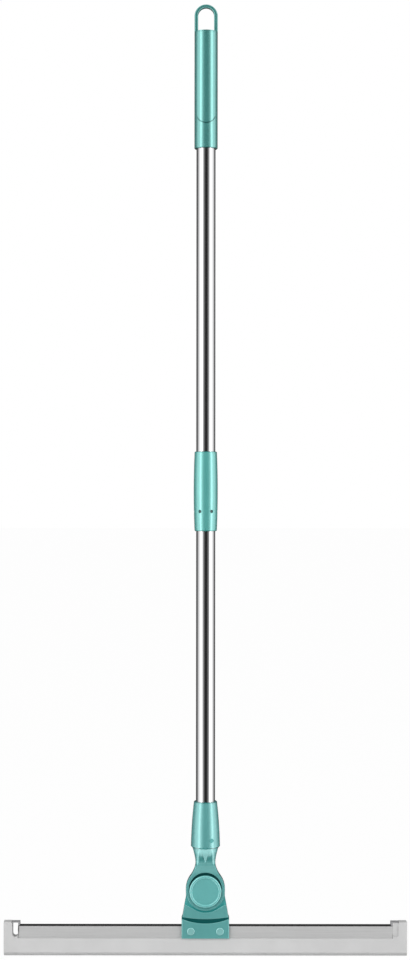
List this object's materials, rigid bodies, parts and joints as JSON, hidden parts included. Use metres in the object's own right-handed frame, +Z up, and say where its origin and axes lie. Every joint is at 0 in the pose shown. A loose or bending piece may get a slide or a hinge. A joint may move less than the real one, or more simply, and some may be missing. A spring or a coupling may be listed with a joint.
{
  "type": "window cleaning squeegee",
  "caption": "Window squeegee: rubber blade in an aluminium channel, swivel head with a push button, two-piece chromed pole, grip and hanging loop.",
  "frame": {"origin": "middle of the blade's wiping edge, under the pole", "axes": "+Z up the pole, +X along the blade, -Y the front, which carries the round button"},
  "size_m": [0.463, 0.0334, 1.093],
  "materials": {
    "teal_plastic": "glossy, tinted translucent moulding",
    "chrome_tube": "polished chromed steel",
    "white_plastic": "plain moulding",
    "steel": "zinc plated",
    "black_rubber": "matt",
    "channel_aluminium": "satin anodised",
    "grey_rubber": "smooth light grey"
  },
  "bodies": {
    "lower_pole": {"lower_tube": "chrome_tube", "coupler_sleeve": "teal_plastic", "coupler_insert": "white_plastic", "coupler_pins": "teal_plastic", "neck_socket": "teal_plastic", "socket_pin": "teal_plastic", "pivot_clip": "steel", "pivot_washer": "white_plastic", "button_spring": "steel"},
    "seal_ring": {"thread_seal_ring": "black_rubber"},
    "upper_pole": {"upper_tube": "chrome_tube", "upper_thread_plug": "white_plastic", "plug_cross_pin": "steel", "grip_sleeve": "teal_plastic", "hanging_loop": "teal_plastic"},
    "head": {"head_bracket": "teal_plastic", "rear_cap": "teal_plastic", "clamp_plate": "teal_plastic", "clamp_screws": "steel", "blade_channel": "channel_aluminium", "end_clips": "steel", "rubber_blade": "grey_rubber"},
    "lock_button": {"lock_button": "teal_plastic", "lock_ring": "white_plastic", "button_screw": "steel"}
  },
  "joints": [
    {"name": "head_swivel", "type": "hinge", "parent": "lower_pole", "child": "head", "pos_m": [0, 0, 0.075], "axis": [0, 1, 0], "range_deg": [-90, 90]},
    {"name": "button_press", "type": "slide", "parent": "lower_pole", "child": "lock_button", "axis": [0, 1, 0], "range_m": [0, 0.0025], "stiffness_N_per_m": 800, "springref_m": -0.002, "deforming": ["button_spring"]},
    {"name": "seal_lift", "type": "slide", "parent": "lower_pole", "child": "seal_ring", "axis": [0, 0, 1], "range_m": [0, 0.012]},
    {"name": "upper_unscrew", "type": "hinge", "parent": "seal_ring", "child": "upper_pole", "pos_m": [0, 0, 0.5345], "axis": [0, 0, 1], "range_deg": [0, 1440]}
  ],
  "couplings": [
    {"joint": "seal_lift", "follows": "upper_unscrew", "m_per_rad": 0.00047746}
  ]
}
